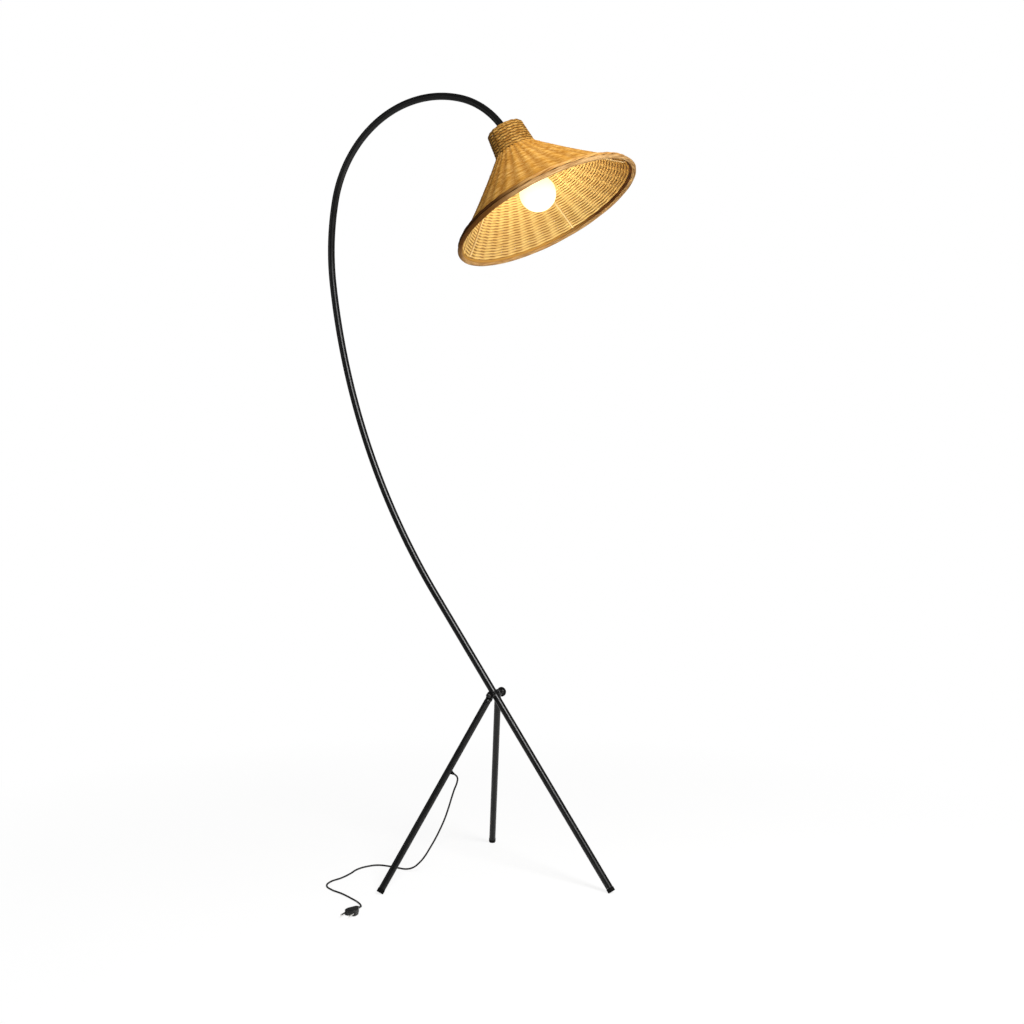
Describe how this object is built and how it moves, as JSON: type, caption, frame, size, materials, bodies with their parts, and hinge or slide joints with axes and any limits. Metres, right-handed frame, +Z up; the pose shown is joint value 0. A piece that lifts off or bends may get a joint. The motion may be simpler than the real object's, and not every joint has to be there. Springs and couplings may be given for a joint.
{
  "type": "floor lamp",
  "caption": "Tripod arc floor lamp: a long bent tube is front leg and pole, two rear legs fold at a cross stud, and a woven rattan bell shade hangs from the pole's end.",
  "frame": {"origin": "on the floor, under the middle of the lamp's bounding box, measured without the cord and its plug", "axes": "+Z up, +X from the arch of the pole towards the shade and the front foot, +Y towards the leg with the knob"},
  "size_m": [0.764, 0.6913, 1.7626],
  "materials": {
    "black_steel": "semi-gloss black powder coat",
    "black_rubber": "matt",
    "grey_fibre": "matt fibre washer",
    "zinc_steel": "zinc plated",
    "black_cable": "smooth black sheath",
    "black_plastic": "moulded black",
    "nickel": "nickel plated",
    "brass": "plain",
    "ceramic": "white porcelain glaze",
    "rattan": "woven cane, light varnish",
    "dark_rattan": "brown cane strands, light varnish",
    "pale_cane": "smooth peeled cane",
    "opal_glass": "opal"
  },
  "bodies": {
    "stand": {"main_tube": "black_steel", "front_foot_cap": "black_rubber", "left_saddle": "black_steel", "back_saddle": "black_steel", "left_friction_washer": "grey_fibre", "back_friction_washer": "grey_fibre", "left_washer": "black_steel", "back_washer": "black_steel", "hub_stud": "zinc_steel", "ball_nut": "black_steel", "pole_cable": "black_cable", "mains_cord": "black_cable", "plug_body": "black_plastic", "plug_pin_left": "nickel", "plug_pin_right": "nickel", "pole_bush": "zinc_steel", "holder_nipple": "zinc_steel", "holder_cap": "black_plastic", "holder_block": "ceramic", "centre_contact": "brass", "holder_body": "black_plastic", "upper_shade_ring": "black_plastic", "lower_shade_ring": "black_plastic", "shade_fitter": "zinc_steel", "frame_rib_1": "pale_cane", "frame_rib_2": "pale_cane", "frame_rib_3": "pale_cane", "frame_rib_4": "pale_cane", "woven_collar": "rattan", "woven_bell": "rattan", "border_band": "dark_rattan", "rim_rod": "rattan", "bulb_glass": "opal_glass", "bulb_screw_cap": "nickel", "bulb_tip_contact": "nickel"},
    "left_leg": {"left_leg_tube": "black_steel", "left_knuckle": "black_steel", "left_foot_cap": "black_rubber", "cord_grommet": "black_rubber", "leg_cable": "black_cable"},
    "back_leg": {"back_leg_tube": "black_steel", "back_knuckle": "black_steel", "back_foot_cap": "black_rubber"},
    "knob": {"hub_knob": "black_steel"}
  },
  "joints": [
    {"name": "left_leg_fold", "type": "hinge", "parent": "stand", "child": "left_leg", "pos_m": [0.06239, 0, 0.415], "axis": [0, -1, 0], "range_deg": [0, 54], "deforming": ["mains_cord"]},
    {"name": "back_leg_fold", "type": "hinge", "parent": "stand", "child": "back_leg", "pos_m": [0.06239, 0, 0.415], "axis": [0, -1, 0], "range_deg": [0, 54]},
    {"name": "hub_knob_turn", "type": "hinge", "parent": "stand", "child": "knob", "pos_m": [0.06239, 0, 0.415], "axis": [0, 1, 0], "continuous": true}
  ]
}
